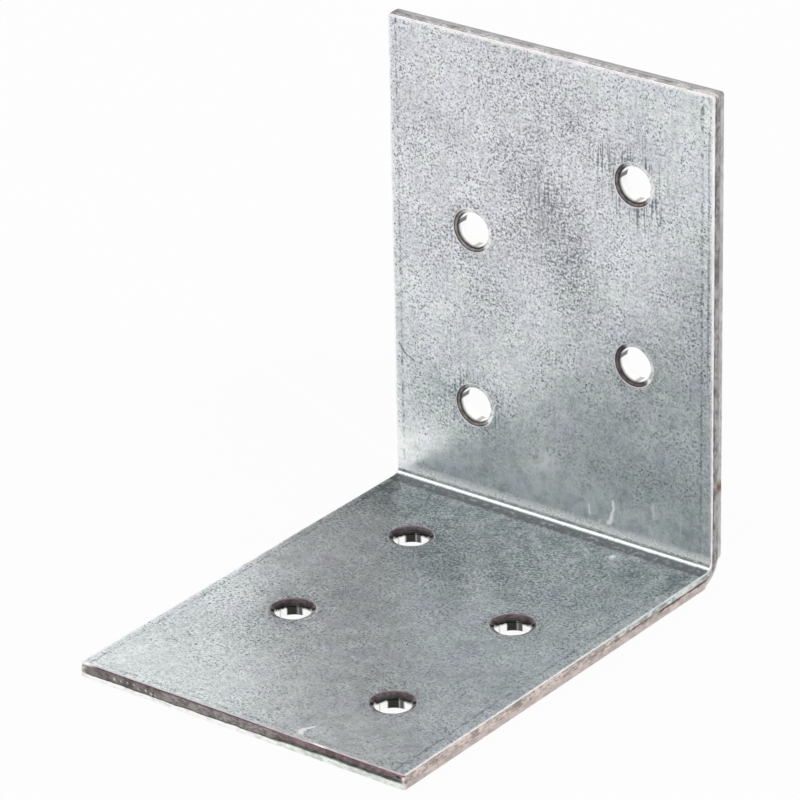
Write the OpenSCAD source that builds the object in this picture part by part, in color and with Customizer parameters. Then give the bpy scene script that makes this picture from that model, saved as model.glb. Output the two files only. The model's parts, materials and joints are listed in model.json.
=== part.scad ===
// Corner brace: one strip of zinc-coated steel sheet, folded square across its middle,
// with two staggered columns of screw holes in each leg.
// The foot leg lies on its outer face along -Y. The wall leg stands at the +Y side.
// The origin is under the middle of the part, on the outer face of the foot leg.

/* [Legs] */
// Length of the foot leg, from the outer corner line to its free end
foot_leg = 80; // [72:1:120]
// Height of the wall leg, from the outer corner line to its free end
wall_leg = 80; // [72:1:120]
// Width of the sheet, the same across both legs
width = 60; // [52:1:100]
// Thickness of the sheet
sheet_t = 2.5; // [2:0.1:4]

/* [Fold] */
// Inner radius of the fold
fold_r = 1.2; // [0.5:0.1:6]

/* [Screw holes] */
// Number of holes along each leg
hole_rows = 4; // [2:1:4]
// Distance along the leg from one hole to the next
row_pitch = 14.75; // [10:0.25:18]
// Distance across the leg between the two columns of holes
column_pitch = 30; // [16:0.5:38]
// Distance from the left edge to the left column
left_margin = 15.5; // [8:0.5:24]
// Distance from the outer corner line to the first hole of the foot leg
foot_first_hole = 19.25; // [12:0.25:24]
// Distance from the outer corner line to the first hole of the wall leg
wall_first_hole = 18.25; // [12:0.25:24]

/* [Shape of a hole] */
// Diameter of the smooth bore
bore_d = 5.7; // [3:0.1:8]
// Radius of the rolled entry of the bore, on the outer face
bore_roll = 0.15; // [0.05:0.05:0.6]
// Depth of the torn mouth, below the inner face
mouth_depth = 0.9; // [0.4:0.05:1.8]
// How far the torn mouth opens out beyond the bore
mouth_flare = 0.65; // [0.1:0.05:1.2]

/* [Cut edges of the sheet] */
// Radius of the rolled edge, on the outer face
edge_roll = 0.35; // [0.1:0.05:0.8]
// Height of the torn band, below the inner face
tear_height = 1.3; // [0.6:0.05:2]
// How far the torn band leans in at the inner face
tear_lean = 0.12; // [0.02:0.02:0.4]
// Width of the worn rim between a cut and the inner face
rim_wear = 0.1; // [0.02:0.02:0.3]

/* [Hidden] */
// Flats that stand for the quarter circle of a rolled edge
roll_steps = 5;
// How far a cutting tool reaches past the face that it cuts
tool_over = 1;
zinc_grey = [0.66, 0.69, 0.71];
hole_fn = 96;
fold_fn = 180;
bore_r = bore_d / 2;
// Distance from the outer corner line to where a leg is flat
flat_start = sheet_t + fold_r;
// The outer face of the wall leg
back_y = foot_leg / 2;

// Outline of a cut through the sheet, from the outer face up to the inner face.
// Each point is [distance in from the widest line of the cut, height above the outer face].
function cut_profile(roll, torn, lean) = concat(
    [for (i = [0 : roll_steps])
        let (a = 90 * i / roll_steps)
        [roll * (1 - sin(a)), roll * (1 - cos(a))]],
    [[0, sheet_t - torn],
     [lean, sheet_t - rim_wear],
     [lean + rim_wear, sheet_t]]
);

edge_profile = cut_profile(edge_roll, tear_height, tear_lean);
hole_profile = cut_profile(bore_roll, mouth_depth, mouth_flare);

// Cross-section of the sheet as [place across the width, height above the outer face]
function sheet_section() = concat(
    [for (p = edge_profile) [p[0] - width / 2, p[1]]],
    [for (i = [len(edge_profile) - 1 : -1 : 0])
        [width / 2 - edge_profile[i][0], edge_profile[i][1]]]
);

// A screw hole along +Z, punched from the outer face at z = 0.
// Its smooth bore ends in a torn mouth that opens towards the inner face.
module screw_hole() {
    last = hole_profile[len(hole_profile) - 1];
    rotate_extrude($fn = hole_fn)
        polygon(concat(
            [[0, -tool_over], [bore_r + bore_roll, -tool_over]],
            [for (p = hole_profile) [bore_r + p[0], p[1]]],
            [[bore_r + last[0] + tool_over, sheet_t + tool_over], [0, sheet_t + tool_over]]
        ));
}

// The tool that gives the free end of a leg its cut edge
module end_cut(length) {
    last = edge_profile[len(edge_profile) - 1];
    rotate([90, 0, 90])
        linear_extrude(width + 2 * tool_over, center = true)
            polygon(concat(
                [[length + tool_over, -tool_over], [length - edge_roll, -tool_over]],
                [for (p = edge_profile) [length - p[0], p[1]]],
                [[length - last[0] - tool_over, sheet_t + tool_over],
                 [length + tool_over, sheet_t + tool_over]]
            ));
}

// The two staggered columns of holes, with y measured from the outer corner line
module hole_pattern(first_hole) {
    for (row = [0 : hole_rows - 1])
        translate([
            left_margin - width / 2 + (row % 2) * column_pitch,
            first_hole + row * row_pitch,
            0
        ])
            screw_hole();
}

// A flat leg on its outer face, running along +Y from the outer corner line
module leg(length, first_hole) {
    difference() {
        translate([0, length, 0])
            rotate([90, 0, 0])
                linear_extrude(length - flat_start)
                    polygon(sheet_section());
        end_cut(length);
        hole_pattern(first_hole);
    }
}

// The quarter turn between the legs, swept about the X axis from -Z to +Y
module fold() {
    rotate([90, 0, 90])
        rotate([0, 0, -90])
            rotate_extrude(angle = 90, $fn = fold_fn)
                polygon([for (p = sheet_section()) [flat_start - p[1], p[0]]]);
}

// The whole brace: foot leg, fold and wall leg in one piece
module corner_brace() {
    color(zinc_grey)
        translate([0, back_y, 0])
            union() {
                mirror([0, 1, 0])
                    leg(foot_leg, foot_first_hole);
                translate([0, -flat_start, flat_start])
                    fold();
                rotate([90, 0, 0])
                    leg(wall_leg, wall_first_hole);
            }
}

corner_brace();
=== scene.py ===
# %% [markdown]
# # A folded corner brace in zinc-coated steel
# A corner brace holds two timbers square to each other. It is one strip of steel sheet, cut
# to size, punched with screw holes and folded square. There is only one piece to make here,
# so all the work goes into what the shears, the punch and the zinc bath leave on it.
#
# The imported CAD model gives the size and the place of everything, so we load it first.

# %% Load the frame
import json
import math
import bpy
import numpy as np
from mathutils import Matrix, Vector, noise
from mathutils.geometry import delaunay_2d_cdt


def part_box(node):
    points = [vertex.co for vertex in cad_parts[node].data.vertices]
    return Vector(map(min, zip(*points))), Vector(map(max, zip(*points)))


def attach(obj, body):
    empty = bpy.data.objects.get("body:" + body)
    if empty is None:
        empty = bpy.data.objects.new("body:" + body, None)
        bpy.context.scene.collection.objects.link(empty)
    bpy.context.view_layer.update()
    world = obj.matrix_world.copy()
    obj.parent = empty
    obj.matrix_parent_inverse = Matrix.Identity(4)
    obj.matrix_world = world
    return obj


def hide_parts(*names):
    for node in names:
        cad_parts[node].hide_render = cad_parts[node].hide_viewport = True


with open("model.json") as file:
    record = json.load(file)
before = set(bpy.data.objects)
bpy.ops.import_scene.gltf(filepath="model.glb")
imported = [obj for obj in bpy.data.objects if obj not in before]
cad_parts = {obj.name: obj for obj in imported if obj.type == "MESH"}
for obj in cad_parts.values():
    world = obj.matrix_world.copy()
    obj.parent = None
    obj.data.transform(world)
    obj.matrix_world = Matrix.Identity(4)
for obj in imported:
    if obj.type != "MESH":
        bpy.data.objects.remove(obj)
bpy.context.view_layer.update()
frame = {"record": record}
MM = 0.001

# %% [markdown]
# ## Sizes of the sheet
# Nothing is measured twice: the width and both leg lengths come from the box of the CAD
# node, and the thickness of the sheet from the mount on its inner face. Only the radius of
# the fold is not in the record, so it is named here. All the making is done in millimetres,
# the unit that the sheet is ordered in.

# %% Sheet sizes
low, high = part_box("corner_brace")
mounts = {mount["name"]: mount for mount in frame["record"]["mounts"]}
sheet_width = (high.x - low.x) / MM
sheet_thick = mounts["foot_inner_face"]["pos_m"][2] / MM
fold_radius = 1.2
axis_y = high.y / MM - sheet_thick - fold_radius
axis_z = sheet_thick + fold_radius
half_fold = (fold_radius + sheet_thick / 2) * math.pi / 4
foot_end = low.y / MM - axis_y - half_fold
wall_end = high.z / MM - axis_z + half_fold
print("Flat sheet, mm:", round(sheet_width, 2), "by", round(wall_end - foot_end, 2),
      "in", round(sheet_thick, 2), "sheet")

# %% [markdown]
# ## The camera
# A product picture of hardware is taken with a long lens from well back, so that parallel
# edges stay nearly parallel. The camera here stands about 0.8 m away, to the right of the
# brace and above it, with a very slight tilt, and looks at the middle of the piece. It comes
# early in the script, because everything after it is judged through it.

# %% Camera
def placed(name, data):
    """A new object of the scene, made from a camera, a mesh or a lamp."""
    thing = bpy.data.objects.new(name, data)
    bpy.context.scene.collection.objects.link(thing)
    return thing


camera_data = bpy.data.cameras.new("camera")
camera_data.lens = 240.1
camera = placed("camera", camera_data)
camera_place = Vector((431.9, -561.3, 372.0)) * MM
camera_aim = Vector((-0.74, 0.72, 37.17)) * MM
camera_tilt = math.radians(-1.202)
looking = (camera_aim - camera_place).to_track_quat("-Z", "Y").to_matrix().to_4x4()
camera.matrix_world = Matrix.Translation(camera_place) @ looking @ Matrix.Rotation(camera_tilt, 4, "Z")
bpy.context.scene.camera = camera
print("Camera distance, m:", round((camera_aim - camera_place).length, 3))

# %% [markdown]
# ## From the flat sheet to the folded brace
# The real brace is cut and punched flat, and folded last. We work the same way. Each point
# has a place across the sheet, a place along it and a depth below the inner face. One
# function then folds the sheet: the foot and the wall stay flat, and the short strip between
# them turns about the fold's axis. This makes scratches, holes and cut edges easy to lay
# out, because on the flat sheet they are just distances.

# %% Folding
def folded(across, along, depth):
    """Takes places on the flat sheet, in mm, to the folded brace, in metres."""
    turn = np.clip((along + half_fold) / (2 * half_fold), 0, 1) * math.pi / 2
    arm = fold_radius + depth
    y = axis_y + arm * np.sin(turn) + np.minimum(along + half_fold, 0)
    z = axis_z - arm * np.cos(turn) + np.maximum(along - half_fold, 0)
    return np.stack([across, y, z], axis=-1) * MM


def on_wall(from_left, height):
    """Place on the flat sheet of a spot on the wall leg, from its left edge and the ground."""
    return (from_left - sheet_width / 2, height - axis_z + half_fold)


def on_foot(from_left, reach):
    """The same on the foot leg, from its left edge and out from the wall's inner face."""
    return (from_left - sheet_width / 2, fold_radius - reach - half_fold)


print("Middle of the fold, mm:", (folded(np.zeros(1), np.zeros(1), np.zeros(1)) / MM).round(2)[0])

# %% [markdown]
# ## Smooth random numbers
# Sheared steel, rolled sheet and zinc are all a little uneven. Each kind of unevenness has
# its own size, and it must come out the same at every run. Perlin noise does both: it is a
# fixed field of smooth hills, and dividing a place by the size of one hill sets the scale.
# A layer number picks another slice of the field, so that no two kinds look alike.

# %% Unevenness
def uneven(across, along, size, layer=0.0, depth=None):
    """Smooth values from about -1 to 1, with hills of the given size in mm."""
    third = np.zeros(len(across)) if depth is None else depth
    return np.array([
        noise.noise(Vector((a / size, b / size, c / size + layer)))
        for a, b, c in zip(across, along, third)
    ])


def step_up(values, start, end):
    """0 before start, 1 after end and a smooth climb between."""
    share = np.clip((values - start) / (end - start), 0, 1)
    return share * share * (3 - 2 * share)


def near(values, middle, full, none):
    """1 where values lie within full of the middle, and 0 from none on."""
    return 1 - step_up(np.abs(values - middle), full, none)


def hill(values, middle, reach, power=2):
    """1 at the middle, falling to 0 beyond the reach; a higher power makes the top flatter."""
    return np.exp(-((values - middle) / reach) ** power)


print("Unevenness at three places:", uneven(np.array([0.3, 5.1, 9.7]), np.zeros(3), 2.0).round(2))

# %% [markdown]
# ## The line of the cut
# The shears leave a rectangle whose corners are barely rounded. We walk round it once and
# note, at each step, the place and the direction that points out of the steel. The steps are
# short on the sheared ends and round the fold, where the eye looks closest.

# %% Outline of the sheet
corner_round = 0.6
corner_steps = 6
end_step, side_step, bend_step = 0.25, 0.36, 0.2
half_width = sheet_width / 2


def straight(start, end, step):
    """Evenly spaced places from start towards end, without the last one."""
    count = max(1, round(math.dist(start, end) / step))
    return [(start[0] + (end[0] - start[0]) * i / count,
             start[1] + (end[1] - start[1]) * i / count) for i in range(count)]


def outline_of_sheet():
    """Places round the sheet and the directions out of it, both as arrays."""
    right = half_width - corner_round
    bottom, top = foot_end + corner_round, wall_end - corner_round
    bend = half_fold + 1.0
    side_steps = [side_step, bend_step, side_step]
    sides = []
    for sign, end, first, last in ((1, foot_end, bottom, top), (-1, wall_end, top, bottom)):
        cut_end = [(-sign * right, end), (sign * right, end)]
        long_side = [(sign * half_width, stop) for stop in (first, -sign * bend, sign * bend, last)]
        sides.append((cut_end, (0, -sign), (sign * right, first), [end_step]))
        sides.append((long_side, (sign, 0), (sign * right, last), side_steps))
    places, outward = [], []
    for stops, direction, centre, steps in sides:
        for start, end, step in zip(stops, stops[1:], steps):
            run = straight(start, end, step)
            places += run
            outward += [direction] * len(run)
        first = math.atan2(direction[1], direction[0])
        for i in range(corner_steps):
            angle = first + math.pi / 2 * i / corner_steps
            places.append((centre[0] + corner_round * math.cos(angle),
                           centre[1] + corner_round * math.sin(angle)))
            outward.append((math.cos(angle), math.sin(angle)))
    return np.array(places), np.array(outward)


edge_places, edge_outward = outline_of_sheet()
print("Steps round the sheet:", len(edge_places))

# %% [markdown]
# ## Where the screw holes are
# The record lists the holes as bolt patterns: a middle, a spacing and a radius. Reading them
# from there keeps the holes of the dressed piece exactly over those of the CAD model, which
# a screw has to pass. The wall's holes are measured up from the ground and the foot's
# along it, and both are turned into places on the flat sheet.

# %% Screw holes
foot_holes = 4
ring_points = 96
hole_centres = []
for name in ("foot_left_holes", "foot_right_holes", "wall_left_holes", "wall_right_holes"):
    x, y, z = [value / MM for value in mounts[name]["pos_m"]]
    hole_sizes = mounts[name]["dims"]
    middle = z - axis_z + half_fold if name.startswith("wall") else y - axis_y - half_fold
    for side in (-0.5, 0.5):
        hole_centres.append((x, middle + side * hole_sizes["spacing_y_mm"]))
bore_radius = hole_sizes["hole_r_mm"]
hole_centres = np.array(hole_centres)
print("Holes:", len(hole_centres), "of", 2 * bore_radius, "mm")


def hole_outline(centre):
    """Places round the bore, clockwise, and the directions from the steel into the hole."""
    angles = -np.arange(ring_points) * 2 * math.pi / ring_points
    spokes = np.stack([np.cos(angles), np.sin(angles)], axis=1)
    return centre + bore_radius * spokes, -spokes


# %% [markdown]
# ## The form of a cut
# Shears and punches do not cut cleanly through. They first press the edge round, then slide
# along it and polish it, and at last the steel tears off. From the outer face inwards a cut
# is therefore rolled, then smooth, then torn, and it ends in a small worn rim at the inner
# face. The same function gives this form to the edges and to the holes, whose torn part
# leans out much further. Each row is a distance in from the widest line and a depth.

# %% Rows of a cut
RIM, TORN, SMOOTH = range(3)
rim_strips, torn_strips, smooth_strips, rolled_strips = 4, 7, 3, 4
torn_top = rim_strips
torn_bottom = torn_top + torn_strips
smooth_top, rolled_top = torn_bottom + 1, torn_bottom + smooth_strips + 2
strip_kinds = [RIM] * rim_strips + [TORN] * torn_strips + [SMOOTH] * (smooth_strips + rolled_strips)


def quarter_turn(strips):
    """Angles from 0 to a right angle."""
    return np.linspace(0, math.pi / 2, strips + 1)


def cut_rows(rim_width, rim_depth, lean, tear_depth, roll):
    """Rows of a cut from the inner face to the outer face, as insets and depths."""
    rows = [(lean + rim_width * (1 - math.sin(angle)), rim_depth * (1 - math.cos(angle)))
            for angle in quarter_turn(rim_strips)]
    for part in np.linspace(0, 1, torn_strips + 1)[1:]:
        rows.append((lean * (1 - part), rim_depth + (tear_depth - rim_depth) * part))
    for part in np.linspace(0, 1, smooth_strips + 1)[1:]:
        rows.append((0.0, tear_depth + (sheet_thick - roll - tear_depth) * part))
    for angle in quarter_turn(rolled_strips)[1:]:
        rows.append((roll * (1 - math.cos(angle)), sheet_thick - roll * (1 - math.sin(angle))))
    return np.array(rows)


edge_form = {"rim_width": 0.32, "rim_depth": 0.17, "lean": 0.12, "tear_depth": 1.3, "roll": 0.35}
hole_form = {"rim_width": 0.16, "rim_depth": 0.1, "lean": 0.65, "tear_depth": 0.9, "roll": 0.15}
edge_rows = cut_rows(**edge_form)
hole_rows = cut_rows(**hole_form)
mouth_radius = bore_radius + hole_rows[0][0]
print("Rows in a cut:", len(edge_rows), "mouth of a hole, mm:", round(2 * mouth_radius, 2))

# %% [markdown]
# ## Roughening a cut
# A clean profile swept round an outline looks moulded. A real tear has a wandering lower
# line, a grainy face, a burr that stands a few hundredths of a millimetre proud and small
# nicks where the rim has been knocked. These are real moves of the points, and they only go
# into the steel or up into the open angle, so the brace stays within its box. Three lists
# say how much each row has of the grain, of the wandering line and of the burr.

# %% Uneven cuts
torn_share = np.array([0, 0, 0.3, 0.7, 1, 1, 1, 1, 1, 1, 1, 0.6, 0, 0, 0, 0, 0, 0, 0])
wander_share = np.array([0, 0, 0, 0, 0, 0.1, 0.2, 0.35, 0.5, 0.65, 0.8, 1, 0.45, 0.1, 0, 0, 0, 0, 0])
burr_share = np.array([0, 0.5, 1, 0.6, 0.2] + [0] * 14)
nick_depth = 0.5


def rough_cut(places, rows, wander, grain, burr):
    """Inset and depth of every point of a cut: one line per place, one column per row."""
    count = len(rows)
    across = np.repeat(places[:, 0], count)
    along = np.repeat(places[:, 1], count)
    inset = np.tile(rows[:, 0], len(places))
    depth = np.tile(rows[:, 1], len(places))
    torn = np.tile(torn_share, len(places))
    loose = np.tile(burr_share, len(places))
    grainy = uneven(across, along, 0.5, 3.0, depth) + 0.6 * uneven(across, along, 1.6, 5.0, depth * 0.4)
    line = uneven(across, along, 2.4, 7.0) + 0.5 * uneven(across, along, 0.7, 9.0)
    raised = uneven(across, along, 3.1, 11.0) + 0.5 * uneven(across, along, 0.8, 13.0)
    nicked = np.clip(uneven(across, along, 1.1, 15.0) - 0.42, 0, 1)
    inset = inset + grain * grainy * torn + nick_depth * nicked * loose
    depth = depth + wander * line * np.tile(wander_share, len(places))
    depth = depth - burr * np.clip(raised + 0.3, 0, 1) * loose
    return inset.reshape(-1, count), depth.reshape(-1, count)


edge_inset, edge_depth = rough_cut(edge_places, edge_rows, wander=0.16, grain=0.05, burr=0.05)
print("Edge points:", edge_inset.size, "deepest tear, mm:", edge_depth[:, torn_bottom].max().round(2))

# %% [markdown]
# ## What the fold does to the edges
# Where the sheet is folded, the steel on the inside of the fold is squeezed and swells out
# into a small ear, and the outside is stretched and draws in to a waist. Beside the fold the
# foot's long edges were pressed round by the folding tool, so their upper half is a soft
# shoulder instead of a cut. The slitting wheel leaves a fine groove under the rim of the
# long edges; the dark line along it is painted shade, laid on later with the colours.

# %% Ear and waist at the fold
ear_height, ear_reach = 0.30, 1.0
waist_depth, waist_reach = 0.65, 2.1
side_edge = np.abs(edge_outward[:, 0:1])
along_edge = edge_places[:, 1:2]
inner_share = 1 - edge_depth / sheet_thick
ear = ear_height * hill(along_edge, 0, ear_reach) * inner_share ** 2
waist = waist_depth * hill(along_edge, 0, waist_reach, 6) * (1 - inner_share)
print("Ear, mm:", ear.max().round(2), "waist, mm:", waist.max().round(2))

# %% Groove, ragged foot and shoulder of the long edges
groove_depth, groove_below, groove_half = 0.06, 0.34, 0.11
ragged_depth, ragged_below = 0.08, 2.0
shoulder_round, shoulder_below = 0.44, 0.9
shoulder_middle, shoulder_reach = -7, 13
groove = groove_depth * hill(edge_depth, groove_below, groove_half)
chatter = np.abs(uneven(edge_places[:, 0], edge_places[:, 1], 0.8, 17.0))[:, None]
ragged = ragged_depth * chatter * (edge_depth > ragged_below)
edge_inset = np.clip(edge_inset + side_edge * (waist + groove + ragged - ear), 0, None)
pressed = side_edge * hill(along_edge, shoulder_middle, shoulder_reach, 4) * (edge_depth < shoulder_below)
round_share = np.clip(1 - edge_depth / shoulder_below, 0, 1)
edge_inset += pressed * (shoulder_round * (1 - np.sqrt(1 - round_share ** 2)) - edge_inset)
print("Edge points pressed round:", int((pressed > 0.5).sum()))

# %% [markdown]
# ## Drops of zinc on the front edge
# Near the left corner of the foot's front edge a few small drops of zinc have stayed on the
# torn steel, and the tear reaches lower there. Each drop is a low dome: the points inside its
# radius are pushed out towards the widest line of the cut. A drop is given by its place from
# the left edge, its depth below the inner face and its radius, and the mark that it leaves
# later tells the material where it is.

# %% Zinc drops
zinc_drops = [(6.6, 0.95, 0.32), (7.9, 0.9, 0.2), (9.1, 0.82, 0.2), (10.4, 0.75, 0.22),
              (11.2, 1.15, 0.2), (12.6, 1.0, 0.3), (13.6, 1.25, 0.3), (14.3, 1.3, 0.22)]
drop_height, lower_tear = 0.12, 0.32
edge_mark = np.zeros_like(edge_inset)
front_edge = edge_outward[:, 1] < -0.9
left_part = 1 - step_up(edge_places[:, 0], 2.0, 14.0)
edge_depth += lower_tear * (front_edge * left_part)[:, None] * wander_share
for from_left, below, radius in zinc_drops:
    sideways = edge_places[:, 0:1] + half_width - from_left
    dome = np.clip(1 - np.hypot(sideways, edge_depth - below) / radius, 0, 1) * front_edge[:, None]
    edge_inset = np.clip(edge_inset - drop_height * dome, 0, None)
    edge_mark = np.maximum(edge_mark, dome)
print("Points raised as zinc drops:", int((edge_mark > 0.2).sum()))

# %% [markdown]
# ## Where a punched hole tears
# The punch drags more on one side than on the other. In the foot the tear runs deep on the
# side towards the left end of the fold, and on the other sides the smooth bore comes up close
# to the rim. In the wall the tear is shallow all round. One direction for each leg names one
# side of its holes, and it is used again later to paint shade on that side of the tear.

# %% Depth of the tear round a hole
# Sides of the holes that get painted shade later; in the foot the tear runs deepest there too.
foot_tear_and_shade_side = np.array([-0.61, 0.79])
wall_shade_side = np.array([-0.79, -0.61])
wall_tear, least_foot_tear, more_foot_tear = 0.30, 0.22, 0.88
rim_end, tear_end = hole_form["rim_depth"], hole_form["tear_depth"]
bore_end = sheet_thick - hole_form["roll"]


def turned_from_tear_and_shade_side(offsets, number):
    """Angles in degrees from the side of deep tear and painted shade, for places measured from a hole's
    centre.
    """
    tear_and_shade_side = foot_tear_and_shade_side if number < foot_holes else wall_shade_side
    return np.degrees(np.arctan2(offsets @ np.array((-tear_and_shade_side[1], tear_and_shade_side[0])), offsets @ tear_and_shade_side))


def tear_share(offsets, number):
    """How much of its full depth the tear reaches at each place round a hole."""
    if number >= foot_holes:
        return np.full(len(offsets), wall_tear)
    return least_foot_tear + more_foot_tear * near(turned_from_tear_and_shade_side(offsets, number), 0, 48, 78)


def lifted_tear(below, share):
    """Depths of a cut after its tear has been made shallower."""
    lowest = rim_end + (tear_end - rim_end) * share
    torn = rim_end + (below - rim_end) * share
    smooth = lowest + (below - tear_end) * (bore_end - lowest) / (bore_end - tear_end)
    return np.select([below < rim_end, below < tear_end, below < bore_end], [below, torn, smooth], below)


deepest = rim_end + (tear_end - rim_end) * (least_foot_tear + more_foot_tear)
print("Tear on the drag side of a foot hole, mm:", round(deepest, 2))

# %% [markdown]
# ## Scratches and dents
# A brace is tipped loose into a bin, so its faces carry short scratches. Each one is a path
# on the flat sheet, with half the width of its groove and a mark. Across it lie five points:
# level steel, a raised lip, the bottom of the groove, a lip and level steel again. The mark
# tells the material how bright the bottom of the groove is. Below zero it is a dark smear.

# %% Scratches
scratches = [
    (on_foot, [(40.3, 76.1), (39.8, 75.3), (40.0, 74.5)], 0.28, 2.0),
    (on_foot, [(40.0, 74.5), (40.7, 73.3)], 0.15, 2.0),
    (on_foot, [(4.6, 15.2), (6.1, 16.6), (7.9, 17.7)], 0.10, 0.55),
    (on_foot, [(5.1, 14.7), (6.6, 16.0)], 0.09, 0.45),
    (on_foot, [(1.0, 11.1), (3.0, 10.6), (4.6, 10.9)], 0.08, 0.5),
    (on_foot, [(55.6, 56.0), (60.0, 54.3)], 0.10, 0.35),
    (on_wall, [(42.6, 10.4), (42.8, 8.4), (42.4, 6.6)], 0.10, 0.4),
    (on_wall, [(41.6, 9.0), (41.8, 7.8), (41.4, 6.8)], 0.17, 1.6),
    (on_wall, [(41.4, 6.4), (41.1, 5.4), (40.6, 5.1)], 0.25, 2.0),
    (on_wall, [(37.1, 7.2), (37.3, 5.7)], 0.16, 1.2),
    (on_wall, [(39.2, 5.2), (39.0, 4.5)], 0.14, 1.0),
    (on_foot, [(44.8, 4.6), (44.9, 5.2)], 0.24, 2.0),
    (on_wall, [(49.0, 10.4), (49.2, 8.3)], 0.13, 0.9),
    (on_wall, [(54.2, 8.7), (54.1, 7.2)], 0.12, 0.45),
    (on_wall, [(35.3, 10.6), (35.5, 9.6)], 0.11, 0.7),
    (on_wall, [(1.2, 25.0), (2.2, 23.6), (4.0, 22.9)], 0.13, -0.8),
    (on_wall, [(12.0, 44.0), (12.2, 41.6)], 0.10, 0.3),
    (on_wall, [(57.6, 78.2), (58.3, 78.9), (58.9, 78.2), (58.9, 74.6)], 0.11, 0.8),
    (on_wall, [(57.6, 77.4), (57.4, 75.6), (57.7, 73.9)], 0.15, -0.35),
    (on_wall, [(22.5, 66.2), (24.0, 64.9)], 0.09, 0.3),
    (on_foot, [(30.5, 33.0), (32.4, 32.2)], 0.09, 0.3),
    (on_foot, [(20.3, 42.3), (20.9, 42.5)], 0.16, 0.8),
    (on_foot, [(32.0, 53.2), (32.5, 53.4)], 0.16, 0.8),
]


scratch_step = 0.16
lip_share = 0.14
scratch_profile = ((-2.2, 0, 0), (-1, 1, 0.5), (0, -1, 1), (1, 1, 0.5), (2.2, 0, 0))


def scratch_points():
    """Points of all scratches: across, along, height above the face and mark."""
    points = []
    for leg, path, half, mark in scratches:
        stops = [leg(*stop) for stop in path]
        for start, end in zip(stops, stops[1:]):
            way = np.array(end) - np.array(start)
            sideways = np.array([-way[1], way[0]]) / np.hypot(*way)
            for spot in straight(start, end, scratch_step):
                for offset, height, share in scratch_profile:
                    place = np.array(spot) + sideways * offset * half
                    points.append((*place, height * half * lip_share, mark * share))
    return np.array(points)


scratched = scratch_points()
print("Scratches:", len(scratches), "with", len(scratched), "points")

# %% [markdown]
# ## Filling the two faces
# Between the cuts lie the broad faces of the sheet. A face is filled with points in
# staggered rows, as far apart as an equal-sided triangle is high, and each is shaken a
# little so that no pattern shows. They are finer on the inner face, which is seen close up.
# A Delaunay triangulation joins them to the edges, the holes and the scratches without one
# long thin triangle. Rolled sheet is never dead flat, so the points also follow low swells,
# of a few thousandths of a millimetre, that make the reflections swim a little.

# %% Face points
row_height = 0.866
shake = 0.12
clear_share = 0.45


def even_points(step, hole_reach, edge_reach):
    """Places in staggered rows that keep clear of the edges and the holes."""
    places = []
    rows = int((wall_end - foot_end) / (step * row_height))
    for row in range(1, rows):
        along = foot_end + row * step * row_height
        for column in range(int(sheet_width / step)):
            places.append((-half_width + step * (column + 0.25 + 0.5 * (row % 2)), along))
    places = np.array(places)
    shaken = np.stack([uneven(*places.T, 0.37, 21.0), uneven(*places.T, 0.37, 23.0)], axis=1)
    places += shake * step * shaken
    from_ends = np.minimum(places[:, 1] - foot_end, wall_end - places[:, 1])
    from_edges = np.minimum(half_width - np.abs(places[:, 0]), from_ends)
    clear = from_edges > edge_reach + clear_share * step
    for centre in hole_centres:
        clear &= np.hypot(*(places - centre).T) > hole_reach + clear_share * step
    return places[clear]


def face_triangles(places, loops):
    """Joins places into triangles. A loop lists numbers of places, and the first is outside."""
    ties = [(a, b) for loop in loops for a, b in zip(loop, np.roll(loop, -1))]
    corners = [Vector(place) for place in places]
    inside_only, merge_distance = 1, 1e-6
    _, _, faces, came_from, _, _ = delaunay_2d_cdt(corners, ties, [], inside_only, merge_distance)
    first_of = np.array([sources[0] for sources in came_from])
    triangles = first_of[np.array(faces)]
    loop_of = np.full(len(places), -1)
    for number, loop in enumerate(loops[1:]):
        loop_of[loop] = number
    in_hole = (loop_of[triangles[:, 0]] >= 0) & (np.ptp(loop_of[triangles], axis=1) == 0)
    return triangles[~in_hole]


inner_step, outer_step, scratch_clearance = 0.62, 1.1, 0.3
inner_points = even_points(inner_step, mouth_radius, edge_rows[0][0])
from_scratch = np.min(np.hypot(inner_points[:, None, 0] - scratched[None, ::2, 0],
                               inner_points[:, None, 1] - scratched[None, ::2, 1]), axis=1)
inner_points = inner_points[from_scratch > scratch_clearance]
outer_points = even_points(outer_step, bore_radius + hole_rows[-1][0], edge_rows[-1][0])
print("Face points, inner and outer:", len(inner_points), len(outer_points))

# %% [markdown]
# ## Putting the sheet together
# All points go into one list: first the rows of the outline, then those of each hole, then
# the inner and the outer face. The first row of each cut belongs to the inner face too and
# the last one to the outer face, so the piece closes without a gap. Every point keeps its
# place on the flat sheet, which the zinc material uses later as its coordinates.

# %% Points and faces
across, along, depth, mark, row_number = [], [], [], [], []
first_loops, last_loops, quads, quad_kind = [], [], [], []
cuts = [(edge_places, edge_outward, edge_inset, edge_depth, edge_mark)]
for number, centre in enumerate(hole_centres):
    ring, inward = hole_outline(centre)
    inset, below = rough_cut(ring, hole_rows, wander=0.1, grain=0.025, burr=0.03)
    below = lifted_tear(below, tear_share(ring - centre, number)[:, None])
    cuts.append((ring, inward, np.clip(inset, 0, None), below, np.zeros_like(inset)))

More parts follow.
